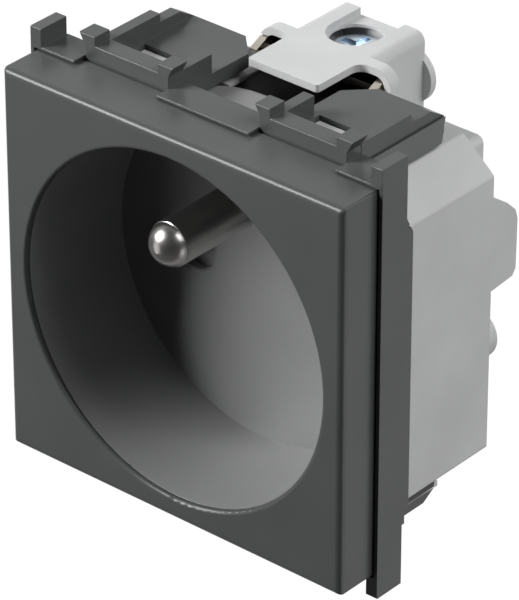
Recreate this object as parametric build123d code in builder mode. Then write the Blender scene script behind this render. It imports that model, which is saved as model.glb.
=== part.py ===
"""A two-module wall socket insert with a round plug well and an earth pin.

Millimetres. X is to the right seen from the front, Y runs back into the wall and Z is up.
The origin is the centre of the square front face, which lies in the plane y = 0.
"""
from build123d import *
import os

# Square face and its skirt
FACE_SIZE = 45.0
FACE_THICK = 2.0
FACE_EDGE_R = 0.75
FACE_CORNER_R = 0.3
SKIRT_WALL = 1.4
SKIRT_SIDE_BACK = 5.3
SKIRT_TOP_BACK = 6.6
MOUTH_EDGE_R = 0.4
LIP_THICK = 0.55

# Plug well
WELL_RIM = 2.6
WELL_DRAFT = 0.4
WELL_DEPTH = 14.5
CUP_WALL = 1.0
CUP_FLOOR = 1.4
CUP_BACK_EDGE_R = 1.2
SEAT_GAP = 0.1
CUP_PLAY = 0.3
APERTURE_X = 9.5
APERTURE_R = 2.75
APERTURE_CHAMFER = 0.4

# Earth pin
EARTH_Z = 10.25
EARTH_R = 2.5
EARTH_TIP = 1.9
NOSE_STEP = 0.08
NECK_R = 3.1
PRESS_GAP = 0.05
COLLAR_R = 3.9
COLLAR_THICK = 1.2
STUB_R = 1.8
STUB_LENGTH = 1.8

# Snap-in frame: front wall, side rails and the plates over the face's skirt
WALL_FRONT = 6.85
WALL_BACK = 9.12
WALL_INSET = 0.77
WALL_RISE = 0.46
RAIL_OVERHANG = 0.66
RAIL_LIP = 0.44
RAIL_BACK = 9.0
RAIL_RISE = 2.5
TAB_BACK = 10.0
TAB_TOP = 16.07
TAB_SLOPE_TOP = 17.9
TAB_BOTTOM = 16.4
TAB_STEP_BOTTOM = 17.6
TAB_STEP = 0.22
SLIT_Z = 16.9
SLIT_HEIGHT = 0.3
SLIT_LENGTH = 0.6
PLATE_FRONT = 5.12
PLATE_THICK = 0.3
PLATE_X = 17.25
MID_PLATE_X = 6.06

# Hooks and the bar between them, with their heights over the face's edge
BAR_X = (7.35, 15.9)
BAR_BACK = 9.06
BAR_RISE = 1.85
HOOK_RISE = 2.9
OUTER_HOOK_X = (15.9, 17.2)
OUTER_HOOK_TIP_X = 17.98
OUTER_FLARE = 1.35
INNER_HOOK_X = (6.0, 7.35)
INNER_HOOK_TIP_X = 5.42
INNER_FLARE = 1.13
FRONT_EDGE_R = 0.14

# Latch arms with their ridges and windows, with their heights from the face's edge
ARM_X = (6.07, 17.25)
ARM_DROP = 0.55
ARM_THICK = 1.6
ARM_BACK = 22.0
ARM_CORNER = 2.72
RIDGE_WIDTH = 1.36
RIDGE_RISE = 1.67
RIDGE_STEP_RISE = 0.7
RIDGE_BACK = 16.82
RIDGE_STEP_BACK = 19.95
INNER_RIDGE_BACK = 13.59
WINDOW_X = (7.8, 15.52)
WINDOW_Y = (9.5, 13.97)
WINDOW_GAP = 0.12

# Sloping shoulder strips beside the arms
SHOULDER_GAP = 0.2
SHOULDER_OUT_X = 18.85
SHOULDER_DROP = 1.65
SHOULDER_SECTION = (0.34, 0.3, 0.7)
SHOULDER_BACK = 19.6

# Clips that hold the face to the frame
CLIP_INSET_X = 3.0
CLIP_INSET_Z = 5.0
CLIP_THICK = 0.9
CLIP_WIDTH = 2.4
CLIP_BARB = 0.5
CLIP_END = 0.75
CLIP_PLAY = 0.2

# Light grey body
BODY_INSET = 0.2
BODY_DROP = 2.97
BODY_CHAMFER_X = 4.05
BODY_CHAMFER_Z = 3.47
BODY_EDGE_R = 0.5
BODY_WALL = 1.2
BODY_ROOM = 8.0
BACK_WALL = 1.3
LUG_SINK = 0.55
LUG_FRONT_GAP = 0.7
TOP_NOTCH_X = 6.0
POST_INSET = 5.8
POST_Z = 6.0
POST_R = 2.2
SIDE_BLOCK_INSET = (3.1, 0.6)
SIDE_BLOCK_YZ = ((12.71, 0.0), (12.71, 1.14), (11.39, 3.09), (10.01, 4.51), (8.87, 4.89),
                 (3.05, 4.81), (2.3, 4.28), (2.01, 1.0), (2.01, 0.0))
PEG_INSET = 3.1
PEG_Z = -4.0
PEG_R = 2.88
PEG_LENGTH = 1.6

# Rear cover: the box behind the sleeves, the terminal tower and its hood
BOX_GAP = 0.1
BOX_WALL = 1.0
BOX_ROOM = 2.6
BOX_TOP = 12.8
BOX_BOTTOM = -15.0
BOX_EDGE_R = 1.0
EAR_MARGIN = 2.3
EAR_THICK = 1.2
EAR_HALF_Z = 2.5
HOOD_RISE = 3.17
HOOD_THICK = 0.85
HOOD_GAP = 0.2
HOOD_DEPTH = 1.5
HOOD_HALF_X = 8.7
HOOD_BEND_R = 2.0
HOOD_LIP = 1.2
TONGUE_HALF_X = 4.62
TONGUE_LENGTH = 6.65
TONGUE_ROOT_R = 1.3
TONGUE_CORNER_R = 0.35
TOWER_HALF_X = 5.6
TOWER_DEPTH = 7.85
TOWER_EDGE_R = 1.2
TOWER_WALL_X = 1.2
TOWER_WALL_Y = 1.05
TOWER_ROOF = 0.35
RECESS_HALF_X = 2.95
RECESS_IN = 3.2
RECESS_DEPTH = 0.8
BOSS_X = 3.6
BOSS_Z = 17.2
BOSS_R = 3.15
BOSS_ROOT = 0.3
BOSS_LENGTH = 0.55

# Screw terminals: a threaded cage is drawn towards the screw's head and grips the wire
CAGE_HALF_X = 2.8
CAGE_HALF_Y = 1.7
CAGE_WALL = 0.8
CAGE_HEIGHT = 4.8
CAGE_TRAVEL = 2.0
CAGE_GAP = 0.2
TERMINAL_R = 1.5
THREAD_GAP = 0.05
TAB_THICK = 0.8
TAB_HALF_X = 1.7
TIP_GAP = 0.12
CROSS_WIDTH = 0.9
CROSS_LENGTH = 3.6
CROSS_DEPTH = 0.9
HEAD_EDGE = 0.15

# Earth terminal
EARTH_SCREW_IN = 3.66
EARTH_TAB_DROP = 7.0
EARTH_HEAD_R = 2.5
EARTH_HEAD_HEIGHT = 1.4
EARTH_HOLE_R = 2.9
EARTH_WIRE_R = 1.25
STRAP_HALF_X = 3.0
STRAP_FOOT = 2.65
STRAP_NARROW_IN = 1.4
STRAP_BEND_R = 1.2
WEB_FRONT_GAP = 0.35
WEB_Z = (19.75, 20.55)
FINGER_WIDTH = 0.9
LEFT_FINGER_X = -8.6
RIGHT_FINGER_X = 6.7
FINGER_TOP = 21.35
FINGER_BEND_R = 0.9
FINGER_TIP = ((0.0, 21.35), (1.85, 20.5), (1.8, 19.9), (0.0, 20.3))

# Black sheet that closes the gap between the arms and the arch under the hood
SHEET_THICK = 0.8
SHEET_Z = 18.5
SHEET_GAP = 0.15
SHEET_BACK_THICK = 0.35
SHEET_PASS = 0.2

# Pole terminals and sleeves
POLE_INSET = 7.0
POLE_ROOM = 2.7
POLE_TAB_RISE = 5.03
POLE_HEAD_R = 2.3
POLE_HEAD_HEIGHT = 1.5
POLE_SEAT_GAP = 0.08
POLE_LIP = 0.28
POLE_LIP_R = 1.9
POLE_WIRE_R = 1.8
SLEEVE_HALF_X = 2.2
SLEEVE_SIDE_GAP = 0.2
SLEEVE_LENGTH = 10.0
SLEEVE_HALF_GAP = 2.1
SLEEVE_THICK = 0.8
SLEEVE_FLARE = 0.6
STRIP_IN = 0.7
STRIP_WIDTH = 3.5
STRIP_GAP = 0.7
STRIP_LEAD = 0.3
STEEL_THICK = 0.4
STEEL_GAP = 0.1
STEEL_IN = 4.0
STEEL_LENGTH = 4.0

# Shutter behind the apertures
SHUTTER_COVER_X = 2.9
SHUTTER_HALF_Z = 3.4
SHUTTER_THICK = 2.0
SHUTTER_TOP_THICK = 0.6
SHUTTER_RAMP_Z = -1.5
SHUTTER_TRAVEL = 6.4
SHUTTER_GAP = 0.3
GUIDE_SIDE_GAP = 0.2
GUIDE_RAIL = 1.0
GUIDE_PLATE = 1.5
GUIDE_TOP = 6.2
GUIDE_BELOW = 0.5
GUIDE_HOLE_R = 3.0
CHANNEL_HALF_X = 2.5
CHANNEL_INNER_X = 1.3
SPRING_R = 0.9
SPRING_WIRE_R = 0.17
SPRING_LENGTH = 11.0
SPRING_TURNS = 10
CHANNEL_FLOOR = 1.9

# Screws that hold the rear cover
COVER_SCREW_R = 1.0
COVER_SCREW_HEAD_R = 1.9
COVER_SCREW_HEAD = 1.4
COVER_SCREW_LENGTH = 7.5
COVER_HOLE_GAP = 0.15

# Faces that several pieces share
half_face = FACE_SIZE / 2
skirt_inner = half_face - SKIRT_WALL
well_r = half_face - WELL_RIM
cup_r = well_r + CUP_WALL
cup_front = LIP_THICK + SEAT_GAP
cup_back = WELL_DEPTH + CUP_FLOOR
wall_half_x = half_face - WALL_INSET
wall_top = half_face + WALL_RISE
rail_out_x = half_face + RAIL_OVERHANG
rail_top = half_face + RAIL_RISE
bar_top = half_face + BAR_RISE
hook_top = half_face + HOOK_RISE
arm_top = half_face - ARM_DROP
clip_x = half_face - CLIP_INSET_X
clip_z = half_face - CLIP_INSET_Z
body_half_x = half_face - BODY_INSET
body_top = half_face - BODY_DROP
post_x = body_half_x - POST_INSET
body_front = TAB_BACK + SEAT_GAP
body_back = cup_back + BODY_ROOM
body_inner_back = body_back - BACK_WALL
collar_front = cup_back + SEAT_GAP
collar_back = collar_front + COLLAR_THICK
shutter_half_x = APERTURE_X + SHUTTER_COVER_X
shutter_front = cup_back + SHUTTER_GAP
shutter_back = shutter_front + SHUTTER_THICK
guide_plate_front = shutter_back + SHUTTER_GAP
guide_back = guide_plate_front + GUIDE_PLATE
strip_front = guide_back + STRIP_GAP
sleeve_x = (APERTURE_X - SLEEVE_HALF_X, APERTURE_X + SLEEVE_HALF_X)
sleeve_y = (strip_front + STRIP_LEAD, strip_front + STRIP_LEAD + SLEEVE_LENGTH)
box_front = body_back + BOX_GAP
box_back = sleeve_y[1] + BOX_ROOM + BOX_WALL
box_inner_x = sleeve_x[1] + SLEEVE_SIDE_GAP
box_half_x = box_inner_x + BOX_WALL
box_inner_top = BOX_TOP - BOX_WALL
box_inner_bottom = BOX_BOTTOM + BOX_WALL
hood_front = body_back + HOOD_GAP
hood_back = hood_front + HOOD_DEPTH
hood_top = body_top + HOOD_RISE
hood_under = hood_top - HOOD_THICK
tongue_front = hood_front - TONGUE_LENGTH
tower_back = hood_back + TOWER_DEPTH
tower_inner_x = TOWER_HALF_X - TOWER_WALL_X
tower_inner_back = tower_back - TOWER_WALL_Y
recess_floor = hood_top - RECESS_DEPTH
tower_inner_top = recess_floor - TOWER_ROOF
earth_screw_y = hood_back + EARTH_SCREW_IN
earth_tab_z = hood_top - EARTH_TAB_DROP
earth_tab_top = earth_tab_z + TAB_THICK
pole_x = body_half_x - POLE_INSET
pole_y = cup_back + POLE_ROOM
pole_tab_z = POLE_TAB_RISE - body_top
pole_tab_top = pole_tab_z + TAB_THICK


def block(x, y, z, mode=Mode.ADD):
    """A box between its limits along x, y and z, in the part being built."""
    middle = ((x[0] + x[1]) / 2, (y[0] + y[1]) / 2, (z[0] + z[1]) / 2)
    with Locations(middle):
        Box(x[1] - x[0], y[1] - y[0], z[1] - z[0], mode=mode)


def rod(x, z, radius, y, mode=Mode.ADD):
    """A cylinder along Y between two depths."""
    with Locations(Location((x, (y[0] + y[1]) / 2, z), (90, 0, 0))):
        Cylinder(radius, y[1] - y[0], mode=mode)


def upright(x, y, radius, z, mode=Mode.ADD):
    """A cylinder along Z between two heights."""
    with Locations((x, y, (z[0] + z[1]) / 2)):
        Cylinder(radius, z[1] - z[0], mode=mode)


def across(y):
    """The plane at depth y, with x and z as its own two directions and its normal to the front."""
    return Plane.XZ.offset(-y)


def side_plane(x):
    """The plane at x, with y and z as its own two directions and its normal to the right."""
    return Plane.YZ.offset(x)


def finish(piece, label):
    """Name a finished piece and write it."""
    piece.part.label = label
    export_step(piece.part, f"parts/{label}.step")


os.makedirs("parts", exist_ok=True)

# The dark square face: a shell that is open at the back, with a thin lip in front of the cup
with BuildPart() as front_cover:
    block((-half_face, half_face), (0, SKIRT_TOP_BACK), (-half_face, half_face))
    fillet(front_cover.edges().filter_by(Axis.Y), FACE_CORNER_R)
    fillet(front_cover.faces().sort_by(Axis.Y)[0].edges(), FACE_EDGE_R)
    block((-skirt_inner, skirt_inner), (FACE_THICK, SKIRT_TOP_BACK), (-skirt_inner, skirt_inner),
          mode=Mode.SUBTRACT)
    block((-half_face, half_face), (SKIRT_SIDE_BACK, SKIRT_TOP_BACK), (-skirt_inner, skirt_inner),
          mode=Mode.SUBTRACT)
    rod(0, 0, well_r, (0, FACE_THICK), mode=Mode.SUBTRACT)
    fillet(front_cover.faces().sort_by(Axis.Y)[0].inner_wires()[0].edges(), MOUTH_EDGE_R)
    rod(0, 0, cup_r + SEAT_GAP, (LIP_THICK, FACE_THICK), mode=Mode.SUBTRACT)
    barb_front = WALL_BACK + SEAT_GAP
    for side in (-1, 1):
        for level in (-1, 1):
            height = (level * clip_z - CLIP_WIDTH / 2, level * clip_z + CLIP_WIDTH / 2)
            stem_in = side * (clip_x - CLIP_THICK / 2)
            stem_out = side * (clip_x + CLIP_THICK / 2)
            barb_out = stem_out + side * CLIP_BARB
            block(sorted((stem_in, stem_out)), (FACE_THICK - LIP_THICK, barb_front + CLIP_END), height)
            with BuildSketch(Plane.XY.offset(height[0])):
                with BuildLine():
                    Polyline((stem_out, barb_front), (barb_out, barb_front),
                             (stem_out, barb_front + CLIP_END), (stem_in, barb_front + CLIP_END),
                             (stem_in, barb_front), close=True)
                make_face()
            extrude(amount=CLIP_WIDTH)

# The plug well: a turned cup with a slightly narrower floor
with BuildPart() as well_cup:
    with BuildSketch(Plane.XY):
        with BuildLine():
            Polyline((0, WELL_DEPTH), (well_r - WELL_DRAFT, WELL_DEPTH), (well_r, cup_front),
                     (cup_r, cup_front), (cup_r, cup_back), (0, cup_back), close=True)
        make_face()
    revolve(axis=Axis.Y)
    fillet(well_cup.faces().sort_by(Axis.Y)[-1].edges(), CUP_BACK_EDGE_R)
    for side in (-1, 1):
        rod(side * APERTURE_X, 0, APERTURE_R, (WELL_DEPTH, cup_back), mode=Mode.SUBTRACT)
    floor_edges = well_cup.edges().filter_by(GeomType.CIRCLE).filter_by(lambda e: e.radius < EARTH_R * 2)
    chamfer(floor_edges.filter_by(lambda e: e.center().Y < cup_back - CUP_FLOOR / 2), APERTURE_CHAMFER)
    rod(0, EARTH_Z, NECK_R + PRESS_GAP, (WELL_DEPTH, cup_back), mode=Mode.SUBTRACT)

# The snap-in frame: one quarter is drawn, then mirrored down and across
with BuildPart() as mounting_frame:
    block((0, wall_half_x), (WALL_FRONT, WALL_BACK), (0, wall_top))
    block((wall_half_x, rail_out_x), (PLATE_FRONT, RAIL_BACK), (0, rail_top))
    plate_z = (wall_top - PLATE_THICK, wall_top)
    block((wall_half_x, rail_out_x - RAIL_LIP), (PLATE_FRONT, WALL_FRONT), (0, plate_z[0]),
          mode=Mode.SUBTRACT)
    block((PLATE_X, wall_half_x), (PLATE_FRONT, WALL_BACK), plate_z)
    block((0, MID_PLATE_X), (PLATE_FRONT, WALL_BACK), plate_z)
    block(BAR_X, (WALL_FRONT, BAR_BACK), (arm_top, bar_top))
    with BuildSketch(across(WALL_FRONT)):
        with BuildLine():
            Polyline((OUTER_HOOK_X[0], arm_top), (OUTER_HOOK_X[1], arm_top),
                     (OUTER_HOOK_X[1], hook_top - OUTER_FLARE), (OUTER_HOOK_TIP_X, hook_top),
                     (OUTER_HOOK_X[0], hook_top), close=True)
        make_face()
        with BuildLine():
            Polyline((INNER_HOOK_X[0], arm_top), (INNER_HOOK_X[1], arm_top),
                     (INNER_HOOK_X[1], hook_top), (INNER_HOOK_TIP_X, hook_top),
                     (INNER_HOOK_X[0], hook_top - INNER_FLARE), close=True)
        make_face()
    extrude(amount=WALL_FRONT - WALL_BACK)
    front_tops = mounting_frame.edges().filter_by(Axis.X).filter_by(
        lambda e: any(abs(e.center().Y - front) < SEAT_GAP and e.center().Z > low - SEAT_GAP
                      for front, low in ((WALL_FRONT, bar_top), (PLATE_FRONT, wall_top))))
    fillet(front_tops, FRONT_EDGE_R)

    block(ARM_X, (BAR_BACK, ARM_BACK), (arm_top - ARM_THICK, arm_top))
    with BuildSketch(Plane.XY.offset(arm_top - ARM_THICK)):
        with BuildLine():
            Polyline((ARM_X[0], ARM_BACK - ARM_CORNER), (ARM_X[0] + ARM_CORNER, ARM_BACK),
                     (ARM_X[0], ARM_BACK), close=True)
        make_face()
    extrude(amount=ARM_THICK, mode=Mode.SUBTRACT)
    ridge_top = half_face + RIDGE_RISE
    ridge_step = half_face + RIDGE_STEP_RISE
    with BuildSketch(side_plane(ARM_X[1])):
        with BuildLine():
            Polyline((BAR_BACK, arm_top), (BAR_BACK, ridge_top), (RIDGE_BACK, ridge_top),
                     (RIDGE_BACK, ridge_step), (RIDGE_STEP_BACK, ridge_step),
                     (ARM_BACK, arm_top), close=True)
        make_face()
    extrude(amount=-RIDGE_WIDTH)
    block((ARM_X[0], ARM_X[0] + RIDGE_WIDTH), (BAR_BACK, INNER_RIDGE_BACK), (arm_top, ridge_top))
    block(WINDOW_X, WINDOW_Y, (arm_top - ARM_THICK, arm_top), mode=Mode.SUBTRACT)

    shoulder_in_x = ARM_X[1] + SHOULDER_GAP
    shoulder_low = arm_top - SHOULDER_DROP
    with BuildSketch(across(BAR_BACK)):
        with BuildLine():
            Polyline((shoulder_in_x, arm_top), (SHOULDER_OUT_X, shoulder_low),
                     (SHOULDER_OUT_X - SHOULDER_SECTION[0], shoulder_low - SHOULDER_SECTION[1]),
                     (shoulder_in_x, arm_top - SHOULDER_SECTION[2]), close=True)
        make_face()
    extrude(amount=BAR_BACK - ARM_BACK)
    with BuildSketch(Plane.XY.offset(shoulder_low - 1)):
        with BuildLine():
            Polyline((shoulder_in_x, ARM_BACK), (SHOULDER_OUT_X, SHOULDER_BACK),
                     (SHOULDER_OUT_X, ARM_BACK), close=True)
        make_face()
    extrude(amount=SHOULDER_DROP + 1, mode=Mode.SUBTRACT)

    slot_x = (clip_x - CLIP_THICK / 2 - CLIP_PLAY, clip_x + CLIP_THICK / 2 + CLIP_BARB + CLIP_PLAY)
    slot_z = (clip_z - CLIP_WIDTH / 2 - CLIP_PLAY, clip_z + CLIP_WIDTH / 2 + CLIP_PLAY)
    block(slot_x, (WALL_FRONT, WALL_BACK), slot_z, mode=Mode.SUBTRACT)
    mirror(about=Plane.XY)

    with BuildSketch(side_plane(wall_half_x)):
        with BuildLine():
            Polyline((RAIL_BACK, TAB_SLOPE_TOP), (TAB_BACK, TAB_TOP), (TAB_BACK, -TAB_BOTTOM),
                     (RAIL_BACK + TAB_STEP, -TAB_BOTTOM), (RAIL_BACK + TAB_STEP, -TAB_STEP_BOTTOM),
                     (RAIL_BACK, -TAB_STEP_BOTTOM), close=True)
        make_face()
    extrude(amount=rail_out_x - wall_half_x)
    block((wall_half_x, rail_out_x), (RAIL_BACK + TAB_STEP, RAIL_BACK + TAB_STEP + SLIT_LENGTH),
          (SLIT_Z - SLIT_HEIGHT / 2, SLIT_Z + SLIT_HEIGHT / 2), mode=Mode.SUBTRACT)
    mirror(about=Plane.YZ)
    rod(0, 0, cup_r + CUP_PLAY, (WALL_FRONT, WALL_BACK), mode=Mode.SUBTRACT)


def body_outline():
    """The body's eight-sided outline, in the sketch being drawn."""
    corner = (body_half_x - BODY_CHAMFER_X, body_top)
    edge = (body_half_x, body_top - BODY_CHAMFER_Z)
    Polygon(corner, edge, (edge[0], -edge[1]), (corner[0], -corner[1]), (-corner[0], -corner[1]),
            (-edge[0], -edge[1]), (-edge[0], edge[1]), (-corner[0], corner[1]), align=None)


# The light grey body: a shell behind the frame, with lugs that fill the arms' windows
with BuildPart() as rear_body:
    with BuildSketch(across(body_front)) as body_outside:
        body_outline()
        fillet(body_outside.vertices(), BODY_EDGE_R)
    extrude(amount=body_front - body_back)
    with BuildSketch(across(body_front)):
        body_outline()
        offset(amount=-BODY_WALL, kind=Kind.INTERSECTION)
    extrude(amount=body_front - body_inner_back, mode=Mode.SUBTRACT)
    lug_top = arm_top - LUG_SINK
    for side in (-1, 1):
        lug_x = sorted((side * (WINDOW_X[0] + WINDOW_GAP), side * (WINDOW_X[1] - WINDOW_GAP)))
        lug_y = (WINDOW_Y[0] + LUG_FRONT_GAP, WINDOW_Y[1] - WINDOW_GAP)
        block(lug_x, lug_y, (body_top - BODY_WALL, lug_top))
        block(lug_x, lug_y, (-lug_top, BODY_WALL - body_top))
        rod(side * post_x, POST_Z, POST_R, (cup_back + SEAT_GAP, body_inner_back))
        rod(side * (body_half_x - PEG_INSET), PEG_Z, PEG_R, (body_inner_back, body_back + PEG_LENGTH))
        block_x = sorted([side * (body_half_x - inset) for inset in SIDE_BLOCK_INSET])
        with BuildSketch(side_plane(block_x[0])):
            with BuildLine():
                Polyline(*[(body_back + depth, z) for z, depth in SIDE_BLOCK_YZ], close=True)
            make_face()
        extrude(amount=block_x[1] - block_x[0])
        rod(side * post_x, POST_Z, COVER_SCREW_R + PRESS_GAP, (collar_back, body_back),
            mode=Mode.SUBTRACT)
        upright(side * pole_x, pole_y, POLE_HEAD_R + POLE_SEAT_GAP,
                (POLE_LIP - body_top, BODY_WALL - body_top), mode=Mode.SUBTRACT)
        upright(side * pole_x, pole_y, POLE_LIP_R, (-body_top, BODY_WALL - body_top), mode=Mode.SUBTRACT)
        wire_z = pole_tab_top + (CAGE_HEIGHT - 2 * CAGE_WALL - TAB_THICK - CAGE_GAP) / 2
        rod(side * pole_x, wire_z, POLE_WIRE_R, (body_inner_back, body_back), mode=Mode.SUBTRACT)
    rod(0, 0, cup_r + CUP_PLAY, (body_front, cup_back + CUP_PLAY), mode=Mode.SUBTRACT)
    block((-TOP_NOTCH_X, TOP_NOTCH_X), (body_front, body_back), (body_top - BODY_WALL, body_top),
          mode=Mode.SUBTRACT)
    block((-box_inner_x, box_inner_x), (body_inner_back, body_back), (box_inner_bottom, box_inner_top),
          mode=Mode.SUBTRACT)
    block((-TOP_NOTCH_X, TOP_NOTCH_X), (body_inner_back, body_back), (box_inner_top, body_top),
          mode=Mode.SUBTRACT)

# The light grey rear cover: box, terminal tower, hood and tongue in one moulding
with BuildPart() as rear_cover:
    block((-box_half_x, box_half_x), (box_front, box_back), (BOX_BOTTOM, BOX_TOP))
    fillet(rear_cover.edges().filter_by(Axis.Y), BOX_EDGE_R)
    fillet(rear_cover.faces().sort_by(Axis.Y)[-1].edges(), BOX_EDGE_R / 2)
    block((-TOWER_HALF_X, TOWER_HALF_X), (hood_back, tower_back), (box_inner_top, hood_top))
    tower_tops = rear_cover.edges().filter_by(Axis.Y).filter_by(
        lambda e: e.center().Z > hood_top - SEAT_GAP)
    fillet(tower_tops, TOWER_EDGE_R)
    ear_x = post_x + EAR_MARGIN
    block((-ear_x, ear_x), (box_front, box_front + EAR_THICK), (POST_Z - EAR_HALF_Z, POST_Z + EAR_HALF_Z))
    block((-box_inner_x, box_inner_x), (box_front, box_back - BOX_WALL),
          (box_inner_bottom, box_inner_top), mode=Mode.SUBTRACT)
    block((-tower_inner_x, tower_inner_x), (box_front + EAR_THICK, tower_inner_back),
          (box_inner_top, tower_inner_top), mode=Mode.SUBTRACT)
    with BuildSketch(across(hood_front)):
        hood_z = (BOX_TOP - BOX_EDGE_R, hood_top)
        with Locations((0, (hood_z[0] + hood_z[1]) / 2)):
            arch = Rectangle(2 * HOOD_HALF_X, hood_z[1] - hood_z[0])
        fillet(arch.vertices().sort_by(Axis.Y)[-2:], HOOD_BEND_R)
        with Locations((0, (hood_z[0] + hood_under) / 2)):
            with BuildSketch(mode=Mode.PRIVATE) as arch_inside:
                inside = Rectangle(2 * (HOOD_HALF_X - HOOD_THICK), hood_under - hood_z[0])
                fillet(inside.vertices().sort_by(Axis.Y)[-2:], HOOD_BEND_R - HOOD_THICK)
            add(arch_inside.sketch, mode=Mode.SUBTRACT)
        lip_low = hood_top - HOOD_LIP
        with Locations((-HOOD_HALF_X, (hood_z[0] + lip_low) / 2)):
            Rectangle(3 * HOOD_THICK, lip_low - hood_z[0], mode=Mode.SUBTRACT)
    extrude(amount=hood_front - hood_back)
    with BuildSketch(Plane.XY.offset(hood_under)) as tongue:
        with Locations((0, (tongue_front + hood_back) / 2)):
            Rectangle(2 * TONGUE_HALF_X, hood_back - tongue_front)
        with Locations((0, (hood_front + hood_back) / 2)):
            Rectangle(2 * (HOOD_HALF_X - HOOD_BEND_R), hood_back - hood_front)
        roots = tongue.vertices().filter_by(
            lambda v: abs(abs(v.X) - TONGUE_HALF_X) < SEAT_GAP and abs(v.Y - hood_front) < SEAT_GAP)
        fillet(roots, TONGUE_ROOT_R)
        fillet(tongue.vertices().sort_by(Axis.Y)[:2], TONGUE_CORNER_R)
    extrude(amount=HOOD_THICK)
    with BuildSketch(Plane.XY.offset(recess_floor)):
        recess_y = hood_back + RECESS_IN
        with Locations((0, recess_y)):
            Circle(RECESS_HALF_X)
        with Locations((0, (recess_y + tower_back) / 2)):
            Rectangle(2 * RECESS_HALF_X, tower_back - recess_y)
    extrude(amount=RECESS_DEPTH, mode=Mode.SUBTRACT)
    upright(0, earth_screw_y, EARTH_HOLE_R, (tower_inner_top, recess_floor), mode=Mode.SUBTRACT)
    rod(BOSS_X, BOSS_Z, BOSS_R, (tower_back - BOSS_ROOT, tower_back + BOSS_LENGTH))
    earth_wire_z = earth_tab_z - (CAGE_HEIGHT - 2 * CAGE_WALL - TAB_THICK - CAGE_GAP) / 2
    rod(0, earth_wire_z, EARTH_WIRE_R, (tower_inner_back, tower_back + BOSS_LENGTH), mode=Mode.SUBTRACT)
    for side in (-1, 1):
        rod(side * post_x, POST_Z, COVER_SCREW_R + COVER_HOLE_GAP, (box_front, box_front + EAR_THICK),
            mode=Mode.SUBTRACT)

# The earth pin: turned, with a rounded nose, a collar behind the cup's floor and a riveted stub
with BuildPart() as earth_pin:
    nose_r = EARTH_R - NOSE_STEP
    with BuildSketch(Plane.XY):
        with BuildLine():
            nose = RadiusArc((nose_r, 0), (0, -EARTH_TIP), (nose_r ** 2 + EARTH_TIP ** 2) / (2 * EARTH_TIP))
            Polyline(nose @ 1, (0, collar_back + STUB_LENGTH), (STUB_R, collar_back + STUB_LENGTH),
                     (STUB_R, collar_back), (COLLAR_R, collar_back), (COLLAR_R, collar_front),
                     (NECK_R, collar_front), (NECK_R, WELL_DEPTH), (EARTH_R, WELL_DEPTH),
                     (EARTH_R, NOSE_STEP), nose @ 0)
        make_face()
    revolve(axis=Axis.Y)
earth_pin.part.position = (0, 0, EARTH_Z)

# The earth strap: riveted on the pin, bent back over the body's edge, with two bent fingers
strap_front = collar_back + SEAT_GAP
strap_narrow_y = hood_back + STRAP_NARROW_IN
with BuildPart() as earth_strap:
    with BuildSketch(side_plane(-STRAP_HALF_X)) as strap_side:
        with BuildLine():
            Polyline((strap_front, EARTH_Z - STRAP_FOOT), (strap_front, earth_tab_top),
                     (strap_narrow_y, earth_tab_top), (strap_narrow_y, earth_tab_z),
                     (strap_front + TAB_THICK, earth_tab_z),
                     (strap_front + TAB_THICK, EARTH_Z - STRAP_FOOT), close=True)
        make_face()
        bend = strap_side.vertices().sort_by_distance((strap_front, earth_tab_top))[0]
        fillet(bend, STRAP_BEND_R)
    extrude(amount=2 * STRAP_HALF_X)
    block((-TAB_HALF_X, TAB_HALF_X), (strap_narrow_y, earth_screw_y + CAGE_HALF_Y + CAGE_GAP),
          (earth_tab_z, earth_tab_top))
    rod(0, EARTH_Z, STUB_R + PRESS_GAP, (strap_front, strap_front + TAB_THICK), mode=Mode.SUBTRACT)
    web_y = (body_back + WEB_FRONT_GAP, body_back + WEB_FRONT_GAP + TAB_THICK)
    block((-STRAP_HALF_X, STRAP_HALF_X), web_y, (earth_tab_z, WEB_Z[1]))
    block((LEFT_FINGER_X, RIGHT_FINGER_X + FINGER_WIDTH), web_y, WEB_Z)
    for finger_x in (LEFT_FINGER_X, RIGHT_FINGER_X):
        with BuildSketch(side_plane(finger_x)) as finger:
            with BuildLine():
                Polyline((web_y[1], WEB_Z[0]), (web_y[1], FINGER_TOP),
                         *[(web_y[0] - ahead, z) for ahead, z in FINGER_TIP],
                         (web_y[0], WEB_Z[0]), close=True)
            make_face()
            fillet(finger.vertices().sort_by_distance((web_y[0] - FINGER_TIP[0][0], FINGER_TOP))[0],
                   FINGER_BEND_R)
        extrude(amount=FINGER_WIDTH)

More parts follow.
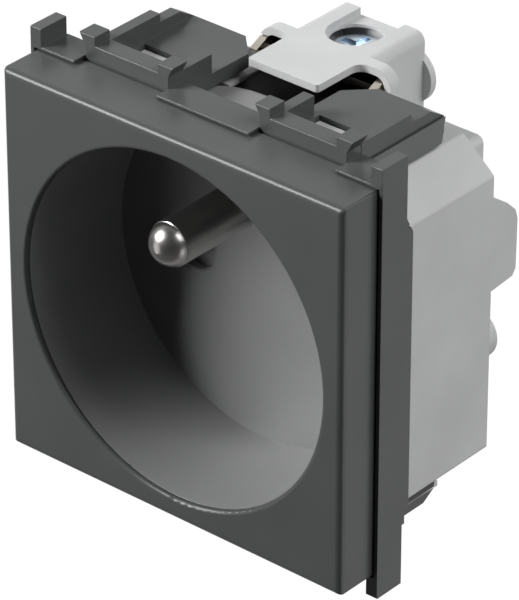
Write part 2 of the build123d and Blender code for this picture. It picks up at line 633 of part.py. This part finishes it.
# The black sheet: it lies in the body's top notch and stands up behind the strap's web
sheet_half_x = TOP_NOTCH_X - SHEET_GAP
sheet_up_x = HOOD_HALF_X - HOOD_THICK - SHEET_GAP
sheet_y = (web_y[1] + SEAT_GAP, web_y[1] + SEAT_GAP + SHEET_BACK_THICK)
pass_x = STRAP_HALF_X + SHEET_PASS
with BuildPart() as insulating_plate:
    sheet_z = (SHEET_Z, SHEET_Z + SHEET_THICK)
    block((-sheet_half_x, sheet_half_x), (cup_back + SHEET_GAP, sheet_y[1]), sheet_z)
    block((-pass_x, pass_x), (web_y[0] - SHEET_GAP, sheet_y[0]), sheet_z, mode=Mode.SUBTRACT)
    with BuildSketch(across(sheet_y[0])):
        with Locations((0, (BOX_TOP + SEAT_GAP + hood_under - SHEET_GAP) / 2)):
            sheet = Rectangle(2 * sheet_up_x, hood_under - SHEET_GAP - BOX_TOP - SEAT_GAP)
        fillet(sheet.vertices().sort_by(Axis.Y)[-2:], HOOD_BEND_R - HOOD_THICK)
    extrude(amount=-SHEET_BACK_THICK)
    block((SHEET_GAP - HOOD_HALF_X, -TOWER_HALF_X), sheet_y, (SHEET_Z, hood_top - HOOD_LIP - SHEET_GAP))
    block((-pass_x, pass_x), sheet_y, (earth_tab_z - SHEET_PASS, earth_tab_top + SHEET_PASS),
          mode=Mode.SUBTRACT)


def cage(x, y, low, threaded_low):
    """A wire cage with its lowest face at low, open along Y, and the thread in one of its walls."""
    wide = (x - CAGE_HALF_X, x + CAGE_HALF_X)
    deep = (y - CAGE_HALF_Y, y + CAGE_HALF_Y)
    block(wide, deep, (low, low + CAGE_HEIGHT))
    block((wide[0] + CAGE_WALL, wide[1] - CAGE_WALL), deep,
          (low + CAGE_WALL, low + CAGE_HEIGHT - CAGE_WALL), mode=Mode.SUBTRACT)
    upright(x, y, TERMINAL_R + THREAD_GAP, (threaded_low, threaded_low + CAGE_WALL), mode=Mode.SUBTRACT)


def cross_recess(x, y, z, mode=Mode.SUBTRACT):
    """The cross slot of a screw head, between two heights."""
    long_x = (x - CROSS_LENGTH / 2, x + CROSS_LENGTH / 2)
    long_y = (y - CROSS_LENGTH / 2, y + CROSS_LENGTH / 2)
    block(long_x, (y - CROSS_WIDTH / 2, y + CROSS_WIDTH / 2), z, mode=mode)
    block((x - CROSS_WIDTH / 2, x + CROSS_WIDTH / 2), long_y, z, mode=mode)


# The earth terminal: its screw turns in the tower's roof and draws the cage up under the strap
earth_cage_low = earth_tab_top + CAGE_GAP + CAGE_WALL - CAGE_HEIGHT
earth_head_low = earth_tab_top + CAGE_GAP + CAGE_WALL + CAGE_TRAVEL + CAGE_GAP
earth_head_top = earth_head_low + EARTH_HEAD_HEIGHT
with BuildPart() as earth_clamp:
    cage(0, earth_screw_y, earth_cage_low, earth_tab_top + CAGE_GAP)

with BuildPart() as earth_screw:
    upright(0, earth_screw_y, EARTH_HEAD_R, (earth_head_low, earth_head_top))
    chamfer(earth_screw.faces().sort_by(Axis.Z)[-1].edges(), HEAD_EDGE)
    upright(0, earth_screw_y, TERMINAL_R, (earth_tab_top + TIP_GAP, earth_head_low))
    cross_recess(0, earth_screw_y, (earth_head_top - CROSS_DEPTH, earth_head_top))

# A pole's sleeve: two leaves joined by a web, with a strip down to the terminal's tab
jaw_in = SLEEVE_HALF_GAP
jaw_out = SLEEVE_HALF_GAP + SLEEVE_THICK
web_x = (sleeve_x[0] - SLEEVE_THICK, sleeve_x[0])
foot_back = body_inner_back - SEAT_GAP
strip_x = (sleeve_x[0] + STRIP_IN, sleeve_x[0] + STRIP_IN + STRIP_WIDTH)
with BuildPart() as live_contact:
    for level in (-1, 1):
        with BuildSketch(side_plane(sleeve_x[0])):
            with BuildLine():
                Polyline((sleeve_y[0], level * (jaw_in + SLEEVE_FLARE)),
                         (sleeve_y[0] + 2 * SLEEVE_FLARE, level * jaw_in),
                         (sleeve_y[1], level * jaw_in), (sleeve_y[1], level * jaw_out),
                         (sleeve_y[0] + SLEEVE_FLARE, level * jaw_out),
                         (sleeve_y[0], level * (jaw_out + SLEEVE_FLARE)), close=True)
            make_face()
        extrude(amount=sleeve_x[1] - sleeve_x[0])
    block(web_x, (sleeve_y[0] + SLEEVE_THICK, sleeve_y[1]), (-jaw_out, jaw_out))
    block(strip_x, (strip_front, strip_front + SLEEVE_THICK), (pole_tab_z, -jaw_out))
    block((strip_x[0], pole_x + TAB_HALF_X), (strip_front, foot_back), (pole_tab_z, pole_tab_top))
    block((pole_x - TAB_HALF_X, pole_x + TAB_HALF_X), (pole_y - CAGE_HALF_Y + CAGE_GAP, strip_front),
          (pole_tab_z, pole_tab_top))

with BuildPart() as neutral_contact:
    mirror(live_contact.part, about=Plane.YZ)

# A steel clip round each sleeve keeps its leaves pressed together
steel_in = jaw_out + STEEL_GAP
steel_out = steel_in + STEEL_THICK
steel_y = (sleeve_y[0] + STEEL_IN, sleeve_y[0] + STEEL_IN + STEEL_LENGTH)
steel_web_x = (web_x[0] - STEEL_GAP - STEEL_THICK, web_x[0] - STEEL_GAP)
with BuildPart() as live_contact_spring:
    block((steel_web_x[0], sleeve_x[1] - STEEL_THICK), steel_y, (-steel_out, steel_out))
    block((steel_web_x[1], sleeve_x[1]), steel_y, (-steel_in, steel_in), mode=Mode.SUBTRACT)

with BuildPart() as neutral_contact_spring:
    mirror(live_contact_spring.part, about=Plane.YZ)

# The pole terminals: their screws turn in the bottom wall and draw the cages down under the tabs
pole_cage_low = pole_tab_z - CAGE_GAP - CAGE_WALL
pole_head_top = pole_cage_low - CAGE_TRAVEL - CAGE_GAP
pole_head_low = pole_head_top - POLE_HEAD_HEIGHT
with BuildPart() as live_clamp:
    cage(pole_x, pole_y, pole_cage_low, pole_cage_low)

with BuildPart() as neutral_clamp:
    mirror(live_clamp.part, about=Plane.YZ)

with BuildPart() as live_screw:
    upright(pole_x, pole_y, POLE_HEAD_R, (pole_head_low, pole_head_top))
    chamfer(live_screw.faces().sort_by(Axis.Z)[0].edges(), HEAD_EDGE)
    upright(pole_x, pole_y, TERMINAL_R, (pole_head_top, pole_tab_z - TIP_GAP))
    cross_recess(pole_x, pole_y, (pole_head_low, pole_head_low + CROSS_DEPTH))

with BuildPart() as neutral_screw:
    mirror(live_screw.part, about=Plane.YZ)

# The shutter: a ramped bar that the plug's pins push down against its spring
with BuildPart() as shutter:
    with BuildSketch(side_plane(-shutter_half_x)):
        with BuildLine():
            Polyline((shutter_front, -SHUTTER_HALF_Z), (shutter_front, SHUTTER_RAMP_Z),
                     (shutter_back - SHUTTER_TOP_THICK, SHUTTER_HALF_Z), (shutter_back, SHUTTER_HALF_Z),
                     (shutter_back, -SHUTTER_HALF_Z), close=True)
        make_face()
    extrude(amount=2 * shutter_half_x)

guide_front = cup_back + SEAT_GAP
guide_inner_x = shutter_half_x + GUIDE_SIDE_GAP
guide_x = guide_inner_x + GUIDE_RAIL
guide_low = -SHUTTER_HALF_Z - SHUTTER_TRAVEL - GUIDE_BELOW
spring_low = -SHUTTER_HALF_Z - SEAT_GAP - SPRING_LENGTH
with BuildPart() as shutter_guide:
    block((-guide_x, guide_x), (guide_front, guide_back), (guide_low, GUIDE_TOP))
    block((-CHANNEL_HALF_X, CHANNEL_HALF_X), (guide_front, guide_back),
          (spring_low - CHANNEL_FLOOR, guide_low))
    block((-guide_inner_x, guide_inner_x), (guide_front, guide_plate_front),
          (guide_low, SHUTTER_HALF_Z + SHUTTER_GAP), mode=Mode.SUBTRACT)
    block((-CHANNEL_INNER_X, CHANNEL_INNER_X), (guide_front, guide_plate_front),
          (spring_low - SEAT_GAP, guide_low), mode=Mode.SUBTRACT)
    for side in (-1, 1):
        rod(side * APERTURE_X, 0, GUIDE_HOLE_R, (guide_plate_front, guide_back), mode=Mode.SUBTRACT)

with BuildPart() as shutter_spring:
    with BuildLine():
        coil = Helix(pitch=SPRING_LENGTH / SPRING_TURNS, height=SPRING_LENGTH - 2 * SPRING_WIRE_R,
                     radius=SPRING_R)
    with BuildSketch(Plane(origin=coil @ 0, z_dir=coil % 0)):
        Circle(SPRING_WIRE_R)
    sweep()
shutter_spring.part.position = (0, (shutter_front + shutter_back) / 2, spring_low + SPRING_WIRE_R)

# The two screws that hold the rear cover to the body's posts
screw_seat = box_front + EAR_THICK
with BuildPart() as rear_screws:
    for side in (-1, 1):
        rod(side * post_x, POST_Z, COVER_SCREW_HEAD_R, (screw_seat, screw_seat + COVER_SCREW_HEAD))
        rod(side * post_x, POST_Z, COVER_SCREW_R, (screw_seat - COVER_SCREW_LENGTH, screw_seat))
    heads = rear_screws.faces().filter_by(Axis.Y).sort_by(Axis.Y)[-2:]
    chamfer(heads.edges(), HEAD_EDGE)
    for side in (-1, 1):
        slot = (screw_seat + COVER_SCREW_HEAD - CROSS_DEPTH, screw_seat + COVER_SCREW_HEAD)
        block((side * post_x - COVER_SCREW_HEAD_R, side * post_x + COVER_SCREW_HEAD_R), slot,
              (POST_Z - CROSS_WIDTH / 2, POST_Z + CROSS_WIDTH / 2), mode=Mode.SUBTRACT)

pieces = {
    "front_cover": front_cover,
    "well_cup": well_cup,
    "mounting_frame": mounting_frame,
    "rear_body": rear_body,
    "rear_cover": rear_cover,
    "earth_pin": earth_pin,
    "earth_strap": earth_strap,
    "insulating_plate": insulating_plate,
    "earth_clamp": earth_clamp,
    "earth_screw": earth_screw,
    "live_contact": live_contact,
    "live_contact_spring": live_contact_spring,
    "live_clamp": live_clamp,
    "live_screw": live_screw,
    "neutral_contact": neutral_contact,
    "neutral_contact_spring": neutral_contact_spring,
    "neutral_clamp": neutral_clamp,
    "neutral_screw": neutral_screw,
    "shutter": shutter,
    "shutter_guide": shutter_guide,
    "shutter_spring": shutter_spring,
    "rear_screws": rear_screws,
}
for label, piece in pieces.items():
    finish(piece, label)
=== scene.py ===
import math

import bpy
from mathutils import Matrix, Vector

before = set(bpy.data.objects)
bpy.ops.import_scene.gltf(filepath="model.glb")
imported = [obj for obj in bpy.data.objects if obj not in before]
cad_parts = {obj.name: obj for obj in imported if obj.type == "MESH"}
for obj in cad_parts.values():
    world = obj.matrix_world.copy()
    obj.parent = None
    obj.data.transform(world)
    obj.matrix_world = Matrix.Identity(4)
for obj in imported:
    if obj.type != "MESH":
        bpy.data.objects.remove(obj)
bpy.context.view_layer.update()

MM = 0.001

# The camera: where it stands round the object, what it looks at and its lens
CAMERA_AZIMUTH = math.radians(40.5182)
CAMERA_ELEVATION = math.radians(30.8613)
CAMERA_AIM = Vector((5.778, 7.135, 2.795)) * MM
CAMERA_DISTANCE = 491.52 * MM
SENSOR = 36.0
IMAGE_HEIGHT = 600
FOCAL_PIXELS = 4868.6

# The floor lies well below the socket, which is held by its mount
FLOOR_Z = -0.5
FLOOR_HALF = 6.0
FLOOR_GREY = 0.08

# Reflections see white behind the object, and a dim room in front of it
ROOM_LEVEL = 0.06
WHITE_LEVEL = 1.0
ROOM_END_Y = -0.15
WHITE_START_Y = 0.25
AMBIENT_LEVEL = 0.01

# Each softbox: its way from the object, its side in metres and its level
LAMP_DISTANCE = 0.7
SOFTBOXES = {
    "key": ((-0.61, -0.61, 0.52), 0.3, 1.4),
    "low_left": ((-0.6, -0.75, -0.25), 0.4, 0.1),
    "right_low": ((0.9, 0.1, -0.4), 0.4, 0.12),
    "top_right": ((0.65, 0.15, 0.72), 0.4, 0.62),
    "back_right": ((0.5, 0.7, 0.45), 0.4, 0.15),
}


def direction(azimuth, elevation):
    """The way from the object to a point seen at these angles, with azimuth 0 in front of it."""
    return Vector((math.sin(azimuth) * math.cos(elevation),
                   -math.cos(azimuth) * math.cos(elevation),
                   math.sin(elevation)))


def add_camera():
    data = bpy.data.cameras.new("camera")
    data.sensor_width = SENSOR
    data.lens = FOCAL_PIXELS * SENSOR / IMAGE_HEIGHT
    data.clip_start = 0.01
    data.clip_end = 50
    camera = bpy.data.objects.new("camera", data)
    bpy.context.collection.objects.link(camera)
    back = direction(CAMERA_AZIMUTH, CAMERA_ELEVATION)
    camera.location = CAMERA_AIM + back * CAMERA_DISTANCE
    camera.rotation_mode = "QUATERNION"
    camera.rotation_quaternion = (-back).to_track_quat("-Z", "Y")
    bpy.context.scene.camera = camera


def add_softbox(name, towards, side, level):
    """A square softbox that gives a white surface facing it this level of brightness."""
    data = bpy.data.lights.new(name, "AREA")
    data.shape = "RECTANGLE"
    data.size = data.size_y = side
    data.energy = level * math.pi ** 2 * LAMP_DISTANCE ** 2
    light = bpy.data.objects.new(name, data)
    bpy.context.collection.objects.link(light)
    way = Vector(towards).normalized()
    light.location = way * LAMP_DISTANCE
    light.rotation_mode = "QUATERNION"
    light.rotation_quaternion = way.to_track_quat("Z", "Y")


def new_material(name):
    material = bpy.data.materials.new(name)
    material.use_nodes = True
    nodes = material.node_tree.nodes
    links = material.node_tree.links
    nodes.clear()
    output = nodes.new("ShaderNodeOutputMaterial")
    return material, nodes, links, output


def either(nodes, links, first, second):
    """The greater of two values, which is 1 where either ray flag is 1."""
    node = nodes.new("ShaderNodeMath")
    node.operation = "MAXIMUM"
    links.new(first, node.inputs[0])
    links.new(second, node.inputs[1])
    return node.outputs[0]


def background(nodes, links, place, white):
    """Sets the white shader's level, and returns 1 on camera, transmission and glossy rays.

    It is white to the eye and through glass. Glossy rays see white behind the object only.
    """
    parts = nodes.new("ShaderNodeSeparateXYZ")
    links.new(place, parts.inputs[0])
    room = nodes.new("ShaderNodeMapRange")
    room.inputs["From Min"].default_value = ROOM_END_Y
    room.inputs["From Max"].default_value = WHITE_START_Y
    room.inputs["To Min"].default_value = ROOM_LEVEL
    room.inputs["To Max"].default_value = WHITE_LEVEL
    links.new(parts.outputs["Y"], room.inputs["Value"])
    path = nodes.new("ShaderNodeLightPath")
    clear = either(nodes, links, path.outputs["Is Camera Ray"], path.outputs["Is Transmission Ray"])
    links.new(either(nodes, links, clear, room.outputs[0]), white.inputs["Strength"])
    white.inputs["Color"].default_value = (1, 1, 1, 1)
    return either(nodes, links, clear, path.outputs["Is Glossy Ray"])


def add_world():
    world = bpy.data.worlds.new("studio")
    bpy.context.scene.world = world
    world.use_nodes = True
    nodes, links = world.node_tree.nodes, world.node_tree.links
    nodes.clear()
    output = nodes.new("ShaderNodeOutputWorld")
    dim = nodes.new("ShaderNodeBackground")
    dim.inputs["Strength"].default_value = AMBIENT_LEVEL
    white = nodes.new("ShaderNodeBackground")
    place = nodes.new("ShaderNodeTexCoord")
    mix = nodes.new("ShaderNodeMixShader")
    links.new(background(nodes, links, place.outputs["Generated"], white), mix.inputs[0])
    links.new(dim.outputs[0], mix.inputs[1])
    links.new(white.outputs[0], mix.inputs[2])
    links.new(mix.outputs[0], output.inputs["Surface"])


def add_floor():
    """A floor far below the object. It is full white to the eye, so no shadow shows on it."""
    mesh = bpy.data.meshes.new("floor")
    corners = [(-FLOOR_HALF, -FLOOR_HALF, FLOOR_Z), (FLOOR_HALF, -FLOOR_HALF, FLOOR_Z),
               (FLOOR_HALF, FLOOR_HALF, FLOOR_Z), (-FLOOR_HALF, FLOOR_HALF, FLOOR_Z)]
    mesh.from_pydata(corners, [], [(0, 1, 2, 3)])
    floor = bpy.data.objects.new("floor", mesh)
    bpy.context.collection.objects.link(floor)
    material, nodes, links, output = new_material("floor")
    bounce = nodes.new("ShaderNodeBsdfDiffuse")
    bounce.inputs["Color"].default_value = (FLOOR_GREY, FLOOR_GREY, FLOOR_GREY, 1)
    glow = nodes.new("ShaderNodeEmission")
    lit = nodes.new("ShaderNodeAddShader")
    links.new(bounce.outputs[0], lit.inputs[0])
    links.new(glow.outputs[0], lit.inputs[1])
    place = nodes.new("ShaderNodeTexCoord")
    mix = nodes.new("ShaderNodeMixShader")
    links.new(background(nodes, links, place.outputs["Object"], glow), mix.inputs[0])
    links.new(bounce.outputs[0], mix.inputs[1])
    links.new(lit.outputs[0], mix.inputs[2])
    links.new(mix.outputs[0], output.inputs["Surface"])
    mesh.materials.append(material)


def plastic(name, colour, roughness, specular, grain_mm, grain_depth, mottle=0.06):
    """A moulded plastic with a fine spark-eroded grain and faint flow marks in its colour."""
    material, nodes, links, output = new_material(name)
    shader = nodes.new("ShaderNodeBsdfPrincipled")
    shader.inputs["Roughness"].default_value = roughness
    shader.inputs["Specular IOR Level"].default_value = specular
    place = nodes.new("ShaderNodeTexCoord")
    flow = nodes.new("ShaderNodeTexNoise")
    flow.inputs["Scale"].default_value = 90.0
    flow.inputs["Detail"].default_value = 3.0
    links.new(place.outputs["Object"], flow.inputs["Vector"])
    ramp = nodes.new("ShaderNodeValToRGB")
    ramp.color_ramp.elements[0].position = 0.3
    ramp.color_ramp.elements[1].position = 0.7
    ramp.color_ramp.elements[0].color = [c * (1 - mottle) for c in colour] + [1]
    ramp.color_ramp.elements[1].color = [c * (1 + mottle) for c in colour] + [1]
    links.new(flow.outputs["Fac"], ramp.inputs["Fac"])
    links.new(ramp.outputs["Color"], shader.inputs["Base Color"])
    grain = nodes.new("ShaderNodeTexNoise")
    grain.inputs["Scale"].default_value = 1 / (grain_mm * MM)
    grain.inputs["Detail"].default_value = 2.0
    links.new(place.outputs["Object"], grain.inputs["Vector"])
    bump = nodes.new("ShaderNodeBump")
    bump.inputs["Strength"].default_value = 1.0
    bump.inputs["Distance"].default_value = grain_depth * MM
    links.new(grain.outputs["Fac"], bump.inputs["Height"])
    edge = nodes.new("ShaderNodeBevel")
    edge.samples = 4
    edge.inputs["Radius"].default_value = 0.08 * MM
    links.new(edge.outputs[0], bump.inputs["Normal"])
    links.new(bump.outputs[0], shader.inputs["Normal"])
    links.new(shader.outputs[0], output.inputs["Surface"])
    return material


def metal(name, colour, roughness, streak=0.03, streak_scale=(400, 400, 40)):
    """A plated or rolled metal with faint drawn streaks in its roughness and colour."""
    material, nodes, links, output = new_material(name)
    shader = nodes.new("ShaderNodeBsdfPrincipled")
    shader.inputs["Metallic"].default_value = 1.0
    place = nodes.new("ShaderNodeTexCoord")
    stretch = nodes.new("ShaderNodeMapping")
    stretch.inputs["Scale"].default_value = streak_scale
    links.new(place.outputs["Object"], stretch.inputs["Vector"])
    noise = nodes.new("ShaderNodeTexNoise")
    noise.inputs["Scale"].default_value = 1.0
    noise.inputs["Detail"].default_value = 4.0
    links.new(stretch.outputs[0], noise.inputs["Vector"])
    tone = nodes.new("ShaderNodeValToRGB")
    tone.color_ramp.elements[0].position = 0.3
    tone.color_ramp.elements[1].position = 0.7
    tone.color_ramp.elements[0].color = [c * 0.94 for c in colour] + [1]
    tone.color_ramp.elements[1].color = list(colour) + [1]
    links.new(noise.outputs["Fac"], tone.inputs["Fac"])
    links.new(tone.outputs["Color"], shader.inputs["Base Color"])
    gloss = nodes.new("ShaderNodeMapRange")
    gloss.inputs["To Min"].default_value = roughness
    gloss.inputs["To Max"].default_value = roughness + streak
    links.new(noise.outputs["Fac"], gloss.inputs["Value"])
    links.new(gloss.outputs[0], shader.inputs["Roughness"])
    links.new(shader.outputs[0], output.inputs["Surface"])
    return material


def dress(material, *nodes):
    for name in nodes:
        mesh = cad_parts[name].data
        mesh.materials.clear()
        mesh.materials.append(material)


bpy.context.scene.view_settings.view_transform = "Standard"
add_camera()
add_world()
add_floor()
for name, (towards, side, level) in SOFTBOXES.items():
    add_softbox(name, towards, side, level)

dress(plastic("anthracite_plastic", (0.074, 0.077, 0.076), 0.28, 0.25, 0.12, 0.002),
      "front_cover", "mounting_frame")
dress(plastic("mid_grey_plastic", (0.235, 0.238, 0.237), 0.36, 0.5, 0.15, 0.002), "well_cup")
dress(plastic("light_grey_plastic", (0.57, 0.575, 0.575), 0.5, 0.4, 0.15, 0.004),
      "rear_body", "rear_cover", "shutter")
# Painted shade: the shutter guide and insulating plate are near-black sheets inside the socket,
# where there is only shadow, so their colour stands in for that shade
dress(plastic("black_plastic", (0.003, 0.003, 0.0032), 0.5, 0.06, 0.15, 0.004), "shutter_guide",
      "insulating_plate")
dress(metal("nickel_plate", (0.50, 0.49, 0.48), 0.27), "earth_pin")
dress(metal("tinned_bronze", (0.78, 0.72, 0.64), 0.22), "earth_strap")
dress(metal("blue_zinc", (0.56, 0.63, 0.70), 0.18), "earth_screw", "earth_clamp", "live_screw",
      "live_clamp", "neutral_screw", "neutral_clamp", "rear_screws")
dress(metal("rolled_brass", (0.80, 0.60, 0.30), 0.22), "live_contact", "neutral_contact")
dress(metal("spring_steel", (0.55, 0.55, 0.56), 0.18), "live_contact_spring",
      "neutral_contact_spring", "shutter_spring")
